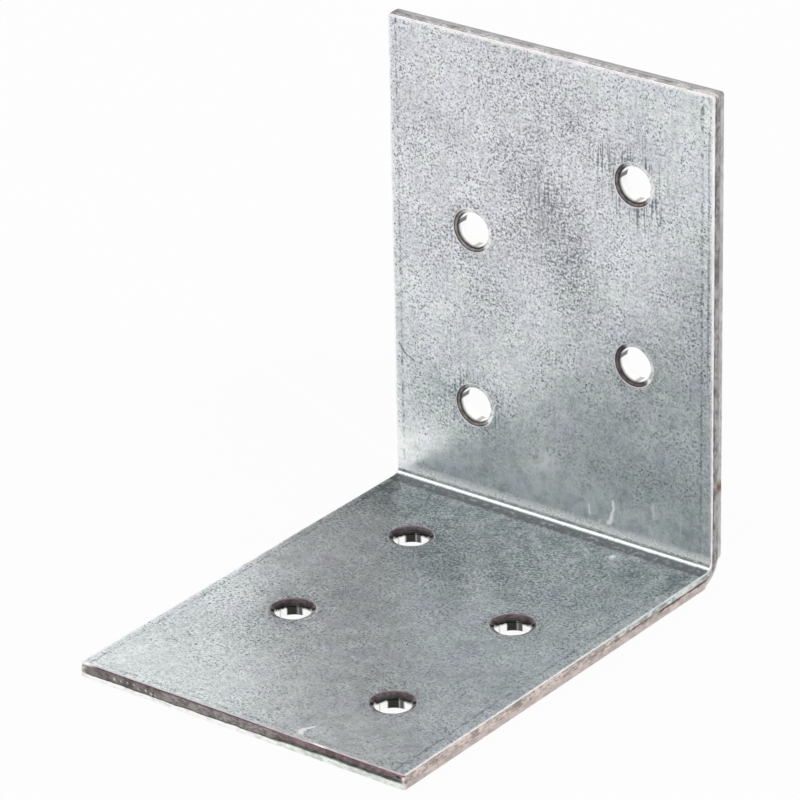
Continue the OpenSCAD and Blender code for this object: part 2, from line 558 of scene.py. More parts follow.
point_count = 0
for number, (places, outward, inset, below, marks) in enumerate(cuts):
    steps, rows = inset.shape
    across.append((places[:, 0:1] - outward[:, 0:1] * inset).ravel())
    along.append((places[:, 1:2] - outward[:, 1:2] * inset).ravel())
    depth.append(below.ravel())
    mark.append(marks.ravel())
    row_number.append(np.tile(np.arange(rows), steps))
    ids = point_count + np.arange(steps * rows).reshape(steps, rows)
    onward = np.roll(ids, -1, axis=0)
    first_loops.append(ids[:, 0])
    last_loops.append(ids[:, -1])
    for row in range(rows - 1):
        strip = np.stack([ids[:, row], ids[:, row + 1], onward[:, row + 1], onward[:, row]], axis=1)
        quads.append(strip)
        quad_kind += [(strip_kinds[row], number > 0)] * steps
    point_count += steps * rows
quads = np.concatenate(quads)
edge_point_count = cuts[0][2].size
row_number = np.concatenate(row_number)
print("Points in the cuts:", point_count, "four-sided faces:", len(quads))

# %% Faces of the sheet
low_swell, short_swell = 0.007, 0.003
inner_extra = np.concatenate([inner_points, scratched[:, :2]])
triangles = []
for loops, extra, level in ((first_loops, inner_extra, 0.0), (last_loops, outer_points, sheet_thick)):
    rim = np.concatenate(loops)
    flat_across = np.concatenate([np.concatenate(across)[rim], extra[:, 0]])
    flat_along = np.concatenate([np.concatenate(along)[rim], extra[:, 1]])
    starts = np.cumsum([0] + [len(loop) for loop in loops])
    local = [np.arange(a, b) for a, b in zip(starts, starts[1:])]
    made = face_triangles(np.stack([flat_across, flat_along], axis=1), local)
    ids = np.concatenate([rim, point_count + np.arange(len(extra))])
    triangles.append(ids[made] if level == 0.0 else ids[made[:, ::-1]])
    swell = low_swell * uneven(*extra.T, 11.0, 31.0) + short_swell * uneven(*extra.T, 3.5, 33.0)
    if level == 0.0:
        swell[len(inner_points):] += scratched[:, 2]
        mark.append(np.concatenate([np.zeros(len(inner_points)), scratched[:, 3]]))
        depth.append(-swell)
    else:
        mark.append(np.zeros(len(extra)))
        depth.append(sheet_thick - np.abs(swell))
    across.append(extra[:, 0])
    along.append(extra[:, 1])
    point_count += len(extra)
triangles = np.concatenate(triangles)
across, along, depth, mark = [np.concatenate(values) for values in (across, along, depth, mark)]
print("Points:", point_count, "triangles in all:", len(triangles) + 2 * len(quads))

# %% [markdown]
# ## The mesh
# Blender takes the points, folded into place, and the faces. Each face is given the number
# of its finish: zinc on the broad faces, a worn rim, torn steel, the polished part of an
# edge and the polished bore of a hole. Smooth shading with a sharp limit keeps the rounded
# rim soft and the tear crisp.

# %% Mesh
ZINC, WORN_RIM, TORN_STEEL, POLISHED_EDGE, BORE = range(5)
edge_finish = {RIM: WORN_RIM, TORN: TORN_STEEL, SMOOTH: POLISHED_EDGE}
hole_finish = {RIM: WORN_RIM, TORN: TORN_STEEL, SMOOTH: BORE}
sharp_angle = math.radians(40)
sheet_mesh = bpy.data.meshes.new("folded_sheet")
sheet_mesh.from_pydata(folded(across, along, depth).tolist(), [], quads.tolist() + triangles.tolist())
finishes = [(hole_finish if in_hole else edge_finish)[kind] for kind, in_hole in quad_kind]
finishes += [ZINC] * len(triangles)
sheet_mesh.polygons.foreach_set("material_index", finishes)
sheet_mesh.shade_smooth()
sheet_mesh.set_sharp_from_angle(angle=sharp_angle)
sheet_mesh.update()
brace = placed("folded_sheet", sheet_mesh)
print("Mesh closed:", not sheet_mesh.validate(), "faces:", len(sheet_mesh.polygons))

# %% [markdown]
# ## Notes for the material, written on the points
# Some things are true only in places: where the zinc is cloudy and where it holds painted light
# and shade, where it is more weathered, where the punch drew thin dark streaks beside a hole
# and where a scratch runs. They are stored on the points as attributes, and Blender blends them
# across each face. The places are given one by one as soft spots, because they are what one
# remembers of the piece.

# %% Notes and spots
def note(name, values):
    """Stores one number for each point under a name that a material can read."""
    layer = sheet_mesh.attributes.new(name, "FLOAT", "POINT")
    layer.data.foreach_set("value", np.asarray(values, dtype=np.float32))


def spots(leg, places):
    """Sum of soft round spots on a leg, each with its place, a reach in mm and a strength."""
    total = np.zeros(point_count)
    for from_left, away, reach, strength in places:
        x, y = leg(from_left, away)
        total += strength * np.exp(-((across - x) ** 2 + (along - y) ** 2) / reach ** 2)
    return total


flat_places = np.stack([across, along, depth], axis=1)
flat_layer = sheet_mesh.attributes.new("flat_place", "FLOAT_VECTOR", "POINT")
flat_layer.data.foreach_set("vector", flat_places.astype(np.float32).ravel())
print("Flat places from", flat_places.min(axis=0).round(1), "to", flat_places.max(axis=0).round(1))

# %% [markdown]
# ## Clouds in the zinc
# The zinc bath left lighter and darker clouds. The darker clouds in the middle of the wall are
# painted shade. A row of painted shade lies on the foot beside the fold and a row of painted
# light on the wall above it. The punch pressed a faint dark ring round each hole.

# %% Clouds
# Clouds of the zinc; the darker ones in the middle of the wall are painted shade.
wall_clouds_light_and_shade = [(24, 64, 5, -0.08), (25, 56, 5, -0.10), (25, 49, 5, -0.10), (31, 56, 4, -0.10),
               (33, 49, 5, -0.16), (19, 37, 5, -0.12), (36, 42, 6, -0.14), (34, 71, 4, -0.08),
               (57, 46, 6, -0.06), (32, 13, 11, 0.10), (29.2, 12, 1.3, 0.45), (30.4, 11.2, 1.1, 0.25),
               (10, 18, 9, -0.13), (9, 45, 8, -0.06), (30, 74, 8, -0.06)]
# A row of painted light on the wall, just above the fold.
wall_clouds_light_and_shade += [(from_left, 7, 4, 0.34) for from_left in range(2, 60, 7)]
foot_clouds_and_shade = [(10, 30, 9, 0.12), (30, 48, 10, 0.09), (28, 67, 9, 0.05), (47, 70, 11, 0.16),
               (52, 45, 8, 0.03), (5, 71, 7, 0.10), (14, 53, 8, -0.12)]
# Two rows of painted shade on the foot, beside the fold.
for row_place in ((4, 4, -0.26), (9.5, 4.5, -0.20)):
    foot_clouds_and_shade += [(from_left, *row_place) for from_left in range(2, 60, 8)]
foot_clouds_and_shade += [(from_left, 19, 7, -0.14) for from_left in (20, 30, 40, 50)]
from_hole = np.min([np.hypot(across - x, along - y) for x, y in hole_centres], axis=0)
ring_radius, ring_reach, ring_strength = 4.2, 0.7, 0.10
pressed_rings = ring_strength * hill(from_hole, ring_radius, ring_reach)
note("cloud_light_shade", spots(on_wall, wall_clouds_light_and_shade) + spots(on_foot, foot_clouds_and_shade) - pressed_rings)
print("Clouds on the wall and the foot:", len(wall_clouds_light_and_shade), len(foot_clouds_and_shade))

# %% Weathered zinc and draw marks
weathered_wall = [(10, 62, 30, 1.0), (34, 66, 22, 0.5), (52, 40, 12, 0.35)]
weathered_foot = [(14, 40, 20, 0.3), (8, 66, 13, -0.7)]
note("weathered", np.clip(spots(on_wall, weathered_wall) + spots(on_foot, weathered_foot), -0.6, 1))
draw_marks = [(45.5, 62.5, 5.5, 0.9), (15.5, 18.25, 5.0, 0.55), (30, 56, 4, 0.45),
              (39.5, 66, 1.6, 0.6), (47.5, 57.5, 2.2, 0.5)]
note("draw_mark", np.clip(spots(on_wall, draw_marks), 0, 1))
note("mark", mark)
print("Attributes:", [layer.name for layer in sheet_mesh.attributes if not layer.name.startswith(".")])

# %% [markdown]
# ## Painting the cut steel
# No two cuts of this piece have the same colour. The front end is torn dark and brownish
# with a pale polished band under it, the top end is a dull grey, and the long sides, which a
# slitting wheel cut, are a light pinkish grey with a thin line of painted shade in the groove
# under the rim and under the pressed shoulder. The dark of the torn front end is partly its
# own colour and partly painted shade. The colours are laid over each other on the points,
# like glazes, and the material adds the grain. A list of bands gives the row where each
# colour begins, counted from the inner face.

# %% Colour bands
def glaze(colours, *layers):
    """Lays colours over others, each by its own share, from 0 to 1, at every point."""
    for share, colour in layers:
        share = np.clip(np.asarray(share, dtype=float), 0, 1)
        colours += share[:, None] * (np.array(colour) - colours)


def bands(stops):
    """A colour for each row of a cut, from the rows where a new colour begins."""
    by_row = np.zeros((len(edge_rows), 3))
    for first_row, colour in stops.items():
        by_row[first_row:] = colour
    return by_row


# The brown-black line colour is painted shade in the groove under the rim and under the shoulder.
white_zinc, pink_steel, shade_line_brown = (0.92, 0.92, 0.92), (0.57, 0.49, 0.46), (0.13, 0.085, 0.095)
foot_side = bands({0: white_zinc, torn_top: pink_steel, rolled_top: (0.66, 0.57, 0.54)})
foot_shoulder = bands({0: (0.82, 0.83, 0.83), 3: (0.58, 0.61, 0.60), 8: shade_line_brown, 10: pink_steel})
wall_side = bands({0: white_zinc, torn_top: (0.68, 0.50, 0.54), 5: shade_line_brown, 6: (0.35, 0.34, 0.34),
                   10: (0.36, 0.38, 0.36), smooth_top: (0.52, 0.51, 0.50), rolled_top: (0.82, 0.75, 0.74)})
top_end = bands({0: (0.98, 0.94, 0.94), torn_top: (0.60, 0.53, 0.53), 6: (0.55, 0.54, 0.54),
                 9: (0.44, 0.43, 0.43), 13: (0.37, 0.36, 0.36)})
# On the front end the dark torn rows are partly painted shade.
front_left = bands({0: (0.60, 0.60, 0.62), 3: (0.16, 0.09, 0.12), 5: (0.30, 0.275, 0.265),
                    torn_bottom: (0.11, 0.12, 0.11), smooth_top: (0.98, 0.97, 0.97),
                    rolled_top: (0.90, 0.80, 0.80)})
front_right = bands({0: (0.60, 0.52, 0.54), torn_top: (0.21, 0.155, 0.165), 9: (0.10, 0.105, 0.095),
                     smooth_top: (0.77, 0.80, 0.76), rolled_top: (0.92, 0.90, 0.90)})
print("Rows painted:", len(foot_side))

# %% Colours of the long edges and the top end
row = row_number[:edge_point_count]
edge_along = along[:edge_point_count]
from_left = across[:edge_point_count] + half_width
broken = np.clip(2.2 * uneven(across[:edge_point_count], edge_along, 2.2, 41.0) + 0.7, 0, 1)
near_bend = hill(edge_along, shoulder_middle, 20, 4)
steel = np.tile(pink_steel, (point_count, 1))
edge_steel = steel[:edge_point_count]
# Row 8 of the shoulder and row 5 of the wall's side hold the line of painted shade, broken up in places.
glaze(edge_steel,
      (np.ones(edge_point_count), foot_side[row]),
      (near_bend, foot_shoulder[row]),
      (near_bend * (1 - broken) * ((row == 8) | (row == 9)), pink_steel),
      (step_up(edge_along, -0.6, 0.8), wall_side[row]),
      (step_up(edge_along, 0, 1) * (1 - broken) * (row == 5), (0.40, 0.34, 0.34)),
      (step_up(edge_along - wall_end, -0.6, -0.3), top_end[row]))
print("Mean colour with the long edges and the top:", edge_steel.mean(axis=0).round(2))

# %% Colours of the front edge
front = step_up(foot_end - edge_along, -0.6, -0.3)
dark_left = (1 - step_up(from_left, 14, 18)) * ((row >= 5) & (row <= torn_bottom))
corner_line = hill(from_left, sheet_width - 0.3, 0.2) * (row > 5)
worn_corner = 1 - step_up(from_left, 0.3, 1.5)
corner_rim = (1 - step_up(from_left, 1, 3.5)) * (row < 5)
# A painted highlight: a bright dash on the front rim.
rim_highlight_dash = hill(from_left, 44.6, 1.1, 4) * (row < torn_top)
rim_nick = hill(from_left, 56.6, 0.5, 4) * (row >= rolled_top)
corner_dots = hill(from_left, sheet_width - 1.2, 0.35) * ((row == 6) | (row == 7))
glaze(edge_steel,
      (front, front_right[row]),
      (front * (1 - step_up(from_left, 32, 40)), front_left[row]),
      (front * dark_left * 0.6, (0.11, 0.10, 0.09)),
      (front * corner_line, (0.80, 0.72, 0.71)),
      (front * worn_corner, (0.66, 0.64, 0.55)),
      (front * corner_rim, (0.98, 0.95, 0.95)),
      (front * rim_highlight_dash, (1.0, 0.98, 0.98)),
      (front * rim_nick, (0.12, 0.11, 0.12)),
      (front * corner_dots, (0.01, 0.01, 0.01)))
print("Mean colour of the edges:", edge_steel.mean(axis=0).round(2))

# %% [markdown]
# ## Painting the holes
# In a hole of the foot one side of the tear is painted nearly black as painted shade, and the
# bore below it holds a painted reflection: a dark block with a pale streak, standing for the
# other side of the hole mirrored in it. The tear of a wall hole is shallow: painted shade on
# one side and a painted white reflection on the other, with two notches. Angles are in degrees
# from the side that gets the painted shade.

# %% Colours of a foot hole
bore_white = (0.98, 0.98, 0.97)
# Colours of the painted shade on a tear, from its edge to its darkest.
tear_shade_edge, tear_shade_dark, tear_shade_black = (0.14, 0.112, 0.12), (0.075, 0.066, 0.066), (0.03, 0.026, 0.026)


def paint_foot_hole(ring, row, turned, reflection_turn):
    """Colours of a hole in the foot: painted shade on one side and a painted reflection, a dark block, at one
    angle.
    """
    rim = row < torn_top
    torn = (row >= torn_top) & (row <= torn_bottom)
    shade_side = near(turned, 0, 55, 95)
    painted_reflection_block = (row >= torn_bottom) * near(turned, reflection_turn, 23.5, 26)
    # The dark side of the tear and of the rim is painted shade; the dark block and its pale streak are a
    # painted reflection in the bore.
    glaze(ring,
          (torn, (0.30, 0.29, 0.28)),
          (torn * shade_side, tear_shade_edge),
          (torn * shade_side * step_up(row, 5, 8), tear_shade_dark),
          (torn * shade_side * step_up(row, 8, 11), tear_shade_black),
          (rim, (0.66, 0.64, 0.65)),
          (rim * shade_side, (0.30, 0.21, 0.24)),
          (painted_reflection_block, (0.035, 0.038, 0.03)),
          (painted_reflection_block * step_up(reflection_turn - turned, 8, 11) * 0.5, (0.16, 0.16, 0.16)),
          (painted_reflection_block * near(turned, reflection_turn - 9, 0.5, 3) * 0.8, (0.5, 0.5, 0.5)),
          ((row >= smooth_top) * near(turned, 44, 1, 4) * 0.5, (0.3, 0.27, 0.24)),
          ((row >= 6) * near(np.abs(turned), 88, 5, 11), (0.01, 0.01, 0.01)))


print("Darkest tear:", tear_shade_black)

# %% Colours of a wall hole
wall_notches = ((-53, 10, 17, 0.9), (54, 9, 15, 0.5))


def paint_wall_hole(ring, row, turned, shade_share):
    """Colours of a hole in the wall, whose tear gets painted shade by a share."""
    rim = row < torn_top
    torn = (row >= torn_top) & (row <= torn_bottom)
    shade_rows = (row == 4) | (row == 5) | (row >= 9) & (row <= torn_bottom)
    reflection_side = step_up(np.abs(turned), 85, 110)
    # The tear darkened by a share, and the dark rows under the rim and low in the tear, are painted shade;
    # the white side of the tear and of the rim is a painted reflection.
    glaze(ring,
          (torn, np.array((0.42, 0.41, 0.39)) * (1 - shade_share) + np.array(tear_shade_edge) * shade_share),
          (shade_rows * 0.9, tear_shade_dark),
          (torn * reflection_side, (0.97, 0.97, 0.97)),
          (rim, (0.70, 0.66, 0.66)),
          (rim * reflection_side, (0.90, 0.90, 0.91)))
    for notch_turn, half, last_row, strength in wall_notches:
        notch = (row >= 10) * (row <= last_row) * near(turned, notch_turn, half * 0.7, half * 1.2)
        glaze(ring, (notch * strength, (0.04, 0.045, 0.042)))


print("Notches in a wall hole:", len(wall_notches))

# %% Hole colours
# Angle of the painted reflection in each foot hole, and the share of painted shade on the tear of each wall
# hole.
reflection_turns = [-4.5, -6, -9, -7.5]
wall_shade_shares = [0.45, 0.4, 1.0, 0.75]
ring_size = ring_points * len(hole_rows)
for number, centre in enumerate(hole_centres):
    first = edge_point_count + number * ring_size
    part = slice(first, first + ring_size)
    turned = turned_from_tear_and_shade_side(flat_places[part, :2] - centre, number)
    steel[part] = bore_white
    if number < foot_holes:
        paint_foot_hole(steel[part], row_number[part], turned, reflection_turns[number])
    else:
        paint_wall_hole(steel[part], row_number[part], turned, wall_shade_shares[number - foot_holes])
steel_colours = np.concatenate([steel, np.ones((point_count, 1))], axis=1)
colour_layer = sheet_mesh.attributes.new("steel_colour", "FLOAT_COLOR", "POINT")
colour_layer.data.foreach_set("color", steel_colours.astype(np.float32).ravel())
note("rust", spots(on_wall, [(sheet_width, 16, 0.9, 1.0)]) * (depth > 1.2))
print("Hole colours laid on", len(hole_centres), "holes")

# %% [markdown]
# ## Small helpers for materials
# A node material is a chain of small steps, and writing each link out makes it hard to read.
# These helpers add one node beside those that feed it and return its output, so that a
# finish can be read as a recipe: take noise of this scale, turn its low part into specks,
# darken the colour by them.

# %% Node helpers
def new_finish(name):
    """A new material with a principled shader, and the node tree that it lives in."""
    material = bpy.data.materials.new(name)
    material.use_nodes = True
    return material, material.node_tree, material.node_tree.nodes["Principled BSDF"]


def fill(node, inputs):
    """Gives the inputs of a node plain values, or links them to other nodes' outputs."""
    for name, value in inputs.items():
        if isinstance(value, bpy.types.NodeSocket):
            node.id_data.links.new(value, node.inputs[name])
        else:
            node.inputs[name].default_value = value
    return node


def chained(kind, inputs, output=0):
    """Adds a node to the tree of its first linked input, and returns one of its outputs."""
    source = [value for value in inputs.values() if isinstance(value, bpy.types.NodeSocket)][0]
    return fill(source.id_data.nodes.new(kind), inputs).outputs[output]


def noted(tree, name, output="Fac"):
    """Reads a note that was stored on the points."""
    reader = tree.nodes.new("ShaderNodeAttribute")
    reader.attribute_name = name
    return reader.outputs[output]


def grain(place, scale, detail=2.0, roughness=0.5):
    """Noise with so many hills to a millimetre."""
    sizes = {"Vector": place, "Scale": scale, "Detail": detail, "Roughness": roughness}
    return chained("ShaderNodeTexNoise", sizes, "Fac")


def stretched(place, scale, shift=(0, 0, 0)):
    """The same place, scaled differently in each direction."""
    return chained("ShaderNodeMapping", {"Vector": place, "Scale": scale, "Location": shift})


def calc(operation, first, second=0.0):
    """One step of arithmetic."""
    result = chained("ShaderNodeMath", {0: first, 1: second})
    result.node.operation = operation
    return result


def product(first, *others):
    """All the values multiplied."""
    for value in others:
        first = calc("MULTIPLY", first, value)
    return first


def weighted(parts, base=0.0):
    """Adds up pairs of a weight and a value, and a base value."""
    total = base
    for weight, value in parts:
        total = calc("ADD", calc("MULTIPLY", value, weight), total)
    return total


def between(value, start, end, low=0.0, high=1.0):
    """Goes smoothly from low to high as the value goes from start to end."""
    ends = {"Value": value, "From Min": start, "From Max": end, "To Min": low, "To Max": high}
    result = chained("ShaderNodeMapRange", ends, "Result")
    result.node.interpolation_type = "SMOOTHSTEP"
    return result


def tint(factor, first, second):
    """Mixes two colours by a factor."""
    mix = factor.id_data.nodes.new("ShaderNodeMix")
    mix.data_type = "RGBA"
    return fill(mix, {0: factor, 6: first, 7: second}).outputs[2]


def scaled(colour, factor):
    """A colour made lighter or darker by a factor."""
    scaler = colour.id_data.nodes.new("ShaderNodeVectorMath")
    scaler.operation = "SCALE"
    return fill(scaler, {0: colour, "Scale": factor}).outputs[0]


def bump(height, depth_mm):
    """The normal of a surface raised by a height of so many mm."""
    return chained("ShaderNodeBump", {"Height": height, "Distance": depth_mm * MM, "Strength": 1.0})


def dots(place, scale, size, soft, rarity=0.5):
    """Round dots, so many to a millimetre, of any strength from 0 to 1, and 0 between them."""
    cells = chained("ShaderNodeTexVoronoi", {"Vector": place, "Scale": scale}).node
    strength = between(cells.outputs["Color"], rarity - 0.2, rarity + 0.2)
    return product(strength, between(cells.outputs["Distance"], size, size - soft))


def stripe(value, middle, half, fade):
    """1 where a value lies within half of the middle, fading to 0 outside."""
    return between(calc("ABSOLUTE", calc("SUBTRACT", value, middle)), half + fade, half)


print("Helpers ready")

# %% [markdown]
# ## Zinc on the broad faces
# The coating is thin and satin: light grey with a breath of blue, peppered with dark specks
# a third of a millimetre across, mottled over a few millimetres and cloudy over centimetres.
# Faint streaks follow the rolling direction of the sheet. The brightness is built up as one
# number from all of these and then picks a colour between dull and clean zinc. Where the
# zinc is weathered its specks are deeper, and the tint changes slowly between a breath of
# blue and a breath of green.

# %% Zinc: grain and streaks
zinc, tree, shader = new_finish("zinc_coating")
place = noted(tree, "flat_place", "Vector")
elsewhere = stretched(place, (1, 1, 1), (40, 0, 0))
sides = chained("ShaderNodeSeparateXYZ", {0: place}).node
across_sheet, along_sheet = sides.outputs[0], sides.outputs[1]
weathered, cloud_light_shade_note, scratch_mark = [noted(tree, name) for name in ("weathered", "cloud_light_shade", "mark")]
fine = grain(place, 2.3, detail=3.0, roughness=0.75)
coarse = grain(elsewhere, 0.9)
mottle = grain(place, 0.3, detail=3.0, roughness=0.6)
cloudy = grain(stretched(place, (1, 1, 1), (7, 3, 0)), 0.07)
streaks = grain(stretched(place, (1.7, 0.09, 1)), 1.0, detail=3.0)
thin_streaks = grain(stretched(place, (3.0, 0.15, 1)), 1.0)
draw = product(noted(tree, "draw_mark"), between(thin_streaks, 0.48, 0.38))
patchy = between(grain(place, 0.42, detail=3.0, roughness=0.7), 0.38, 0.56, 0.3, 1.1)
# The zinc's clouds with their painted light and shade, broken into patches.
cloud_light_shade = product(cloud_light_shade_note, patchy)
print("Nodes for grain and streaks:", len(tree.nodes))

# %% Zinc: specks and dots
crowd = grain(stretched(place, (1, 0.6, 1), (40, 0, 0)), 0.22, detail=3.0, roughness=0.6)
cluster = between(weighted([(1.0, crowd), (-0.45, cloud_light_shade_note)]), 0.36, 0.66)
speckle = between(weighted([(1.0, fine), (0.22, cloud_light_shade_note)]), 0.33, 0.56)
sparkle = between(grain(elsewhere, 2.4), 0.62, 0.74)
pepper_share = product(between(weathered, 0, 1, 0.8, 1.0), between(cluster, 0, 1, 0.25, 1.0))
pepper = product(dots(place, 1.9, 0.34, 0.14), pepper_share)
white_pepper = dots(elsewhere, 1.5, 0.28, 0.14, rarity=0.6)
glints = dots(elsewhere, 0.40, 0.085, 0.03, rarity=0.55)
foot_share = between(along_sheet, -1.0, -6.0)
calm_foot = between(along_sheet, -5, -22, 0.62, 1.0)
calm_foot = calc("MAXIMUM", calm_foot, between(along_sheet, 0, 3))
speckle_base = weighted([(0.45, weathered), (0.30, foot_share)], 0.62)
speckle_depth = product(speckle_base, calm_foot, between(cluster, 0, 1, 0.7, 1.15))
tone = weighted([
    (0.75, coarse), (0.50, mottle), (0.50, cloudy), (0.20, streaks), (0.35, sparkle), (1.0, cloud_light_shade),
    (-1.25, draw), (1.0, scratch_mark), (1.0, product(speckle, speckle_depth)),
    (-0.62, speckle_depth), (-1.2, pepper), (0.45, white_pepper), (1.0, glints),
], -0.30)
print("Nodes with specks and dots:", len(tree.nodes))

# %% [markdown]
# ## Painted light and shade at the fold, and marks of the edges
# The fold's light and shade are painted into the zinc. Its bottom gets a painted highlight and
# is made a little smoother. On each side of it lies a thin line of painted shade, also pressed
# in a little, and beyond that a bank of painted shade on the foot and a pale bank of painted
# light on the wall, made matt white so that it no longer mirrors. A second thin dark line
# wanders on the foot. Thin scored lines with gaps run beside the cut edges. All of them are
# stripes at a distance from the fold or from an edge, and noise makes them a little wavy.

# %% Painted light and shade at the fold
wavy = product(calc("SUBTRACT", grain(place, 0.5, detail=3.0), 0.5), 0.5)
wandering = calc("ADD", along_sheet, product(wavy, 0.8))
# Painted highlight at the bottom of the fold, lines of painted shade beside it, and banks of painted shade
# and painted light.
burnished_highlight = stripe(along_sheet, 0.0, 0.18, 0.25)
wall_shade_line = stripe(along_sheet, 1.02, 0.36, 0.2)
foot_shade_line = stripe(along_sheet, -1.15, 0.26, 0.26)
pressed_shade_lines = calc("MAXIMUM", wall_shade_line, foot_shade_line)
second_line = stripe(wandering, -2.95, 0.12, 0.4)
painted_light_bank = stripe(wandering, 1.8, 0.3, 1.3)
uneven_shade_bank = between(grain(place, 0.9, detail=3.0), 0.34, 0.58, 0.35, 1.1)
painted_shade_bank = product(stripe(wandering, -2.3, 0.6, 1.1), uneven_shade_bank)
print("Nodes with the marks of the tool:", len(tree.nodes))

# %% Marks along the edges
def scored_line(value, middle, half, fade, share):
    """A thin wavy line at a distance from an edge, shown by a share."""
    return product(stripe(calc("ADD", value, wavy), middle, half, fade), share)


gaps = between(grain(elsewhere, 0.6, detail=3.0, roughness=0.7), 0.40, 0.56)
right_line = scored_line(across_sheet, half_width - 2.2, 0.10, 0.22, gaps)
left_line = scored_line(across_sheet, -half_width + 1.6, 0.10, 0.2, gaps)
front_line = scored_line(along_sheet, foot_end + 1.3, 0.10, 0.25, gaps)
inner_line = scored_line(across_sheet, half_width - 1.05, 0.08, 0.2, between(along_sheet, 25, 38))
right_strip = between(across_sheet, half_width - 2.2, half_width - 1.6)
right_border = between(across_sheet, half_width - 0.75, half_width - 0.45)
right_border = product(right_border, between(along_sheet, 0, 2))
left_border = between(across_sheet, -half_width + 1.0, -half_width + 0.6)
top_border = between(along_sheet, wall_end - 0.8, wall_end - 0.5)
# The painted highlight, painted shade and painted light of the fold go into the tone here.
tone = weighted([
    (1.0, tone), (0.75, burnished_highlight), (-1.0, pressed_shade_lines), (-0.20, second_line), (0.62, painted_light_bank),
    (-0.68, painted_shade_bank), (1.2, product(white_pepper, painted_light_bank)), (-0.45, right_line),
    (-0.40, inner_line), (-0.42, left_line), (-0.32, front_line), (0.06, right_strip),
    (0.12, left_border), (0.25, top_border), (0.35, right_border),
])
print("Nodes with the marks of the edges:", len(tree.nodes))

# %% Zinc: colour and gloss
hue_patches = grain(stretched(place, (1, 1, 1), (13, 5, 0)), 0.16, detail=3.0, roughness=0.6)
hue = between(weighted([(1.0, hue_patches), (-0.14, weathered)]), 0.31, 0.57)
light_zinc = tint(hue, (0.865, 0.878, 0.938, 1), (0.876, 0.915, 0.905, 1))
dull_zinc = tint(weathered, (0.160, 0.208, 0.22, 1), (0.212, 0.208, 0.23, 1))
# In the bank of painted shade the dull zinc turns a neutral grey.
dull_zinc = tint(painted_shade_bank, dull_zinc, (0.206, 0.202, 0.205, 1))
colour = tint(weighted([(0.78, tone)], 0.055), dull_zinc, light_zinc)
scraped = between(scratch_mark, 0.45, 0.95)
# The bank of painted light is made matt white, like the bared floor of a scratch.
matt_light_bank = product(painted_light_bank, between(fine, 0.38, 0.58, 0.36, 0.96),
                      calc("SUBTRACT", 1.0, pressed_shade_lines))
scratches_and_light_bank = calc("MAXIMUM", scraped, matt_light_bank)
satin = between(mottle, 0.3, 0.7, 0.24, 0.30)
fill(shader, {
    "Base Color": tint(scratches_and_light_bank, colour, (0.95, 0.97, 0.975, 1)),
    "Metallic": calc("SUBTRACT", 1.0, scratches_and_light_bank),
    "Roughness": calc("SUBTRACT", satin, product(burnished_highlight, 0.04)),
    "Normal": bump(weighted([(0.6, fine), (0.4, mottle), (-0.8, pressed_shade_lines)]), 0.006),
})
print("Zinc nodes:", len(tree.nodes))

# %% [markdown]
# ## The cut steel
# The cuts go through the zinc, so they show other metal. The worn rim is bright. The torn
# part is bare steel that has begun to tarnish, dark and brownish, and darkest on the front
# edge and in the holes. The polished part keeps a smear of zinc and stays light. All are
# rough at the scale of the tear, which the mesh already has, so the nodes only add grain.

# %% Cut finishes
def cut_finish(name, scale, contrast, roughness, depth_mm):
    """Metal in the painted colour, broken up by grain of its own."""
    material, tree, shader = new_finish(name)
    place = noted(tree, "flat_place", "Vector")
    painted = noted(tree, "steel_colour", "Color")
    rough = grain(stretched(place, (0.6, 0.6, 1.8)), scale, detail=4.0, roughness=0.65)
    patch = grain(place, scale * 0.22)
    tone = between(weighted([(0.6, rough), (0.4, patch)]), 0.34, 0.66)
    colour = scaled(painted, between(tone, 0, 1, 1 - contrast, 1 + contrast))
    colour = tint(noted(tree, "mark"), colour, (0.85, 0.85, 0.84, 1))
    colour = tint(noted(tree, "rust"), colour, (0.20, 0.08, 0.04, 1))
    gloss = between(rough, 0.3, 0.7, roughness - 0.08, roughness + 0.08)
    fill(shader, {"Base Color": colour, "Roughness": gloss, "Metallic": 1.0, "Normal": bump(rough, depth_mm)})
    return material


worn_rim = cut_finish("worn_rim", scale=1.8, contrast=0.12, roughness=0.3, depth_mm=0.01)
torn_steel = cut_finish("torn_steel", scale=2.2, contrast=0.45, roughness=0.5, depth_mm=0.04)
polished_edge = cut_finish("polished_edge", scale=1.8, contrast=0.22, roughness=0.35, depth_mm=0.015)
bore_steel = cut_finish("bore_steel", scale=1.2, contrast=0.03, roughness=0.16, depth_mm=0.003)
for material in (zinc, worn_rim, torn_steel, polished_edge, bore_steel):
    sheet_mesh.materials.append(material)
print("Finishes:", [material.name for material in sheet_mesh.materials])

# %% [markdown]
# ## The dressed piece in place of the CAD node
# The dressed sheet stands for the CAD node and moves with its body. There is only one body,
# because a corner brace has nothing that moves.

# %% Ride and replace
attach(brace, "root")
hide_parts("corner_brace")
print("Dressed piece:", brace.name)

# %% [markdown]
# ## Floor and light
# The brace stands on a plain white table in an evenly bright room. Metal shows what it
# mirrors, so the room has to be white in its reflections as well: the floor and the world
# answer camera and mirror rays with plain white, and light everything else at an ordinary
# level. The floor keeps part of its lit surface, so that the shadow of the brace stays, and
# from below it is clear. One soft box, high at the left, draws the bright line in the fold
# and on the front rims.

# %% Floor
def seen_or_mirrored(tree):
    """1 for rays from the camera, from a mirror or through glass, and 0 for the rest."""
    path = tree.nodes.new("ShaderNodeLightPath")
    either = calc("MAXIMUM", path.outputs["Is Camera Ray"], path.outputs["Is Glossy Ray"])
    return calc("MAXIMUM", either, path.outputs["Is Transmission Ray"])


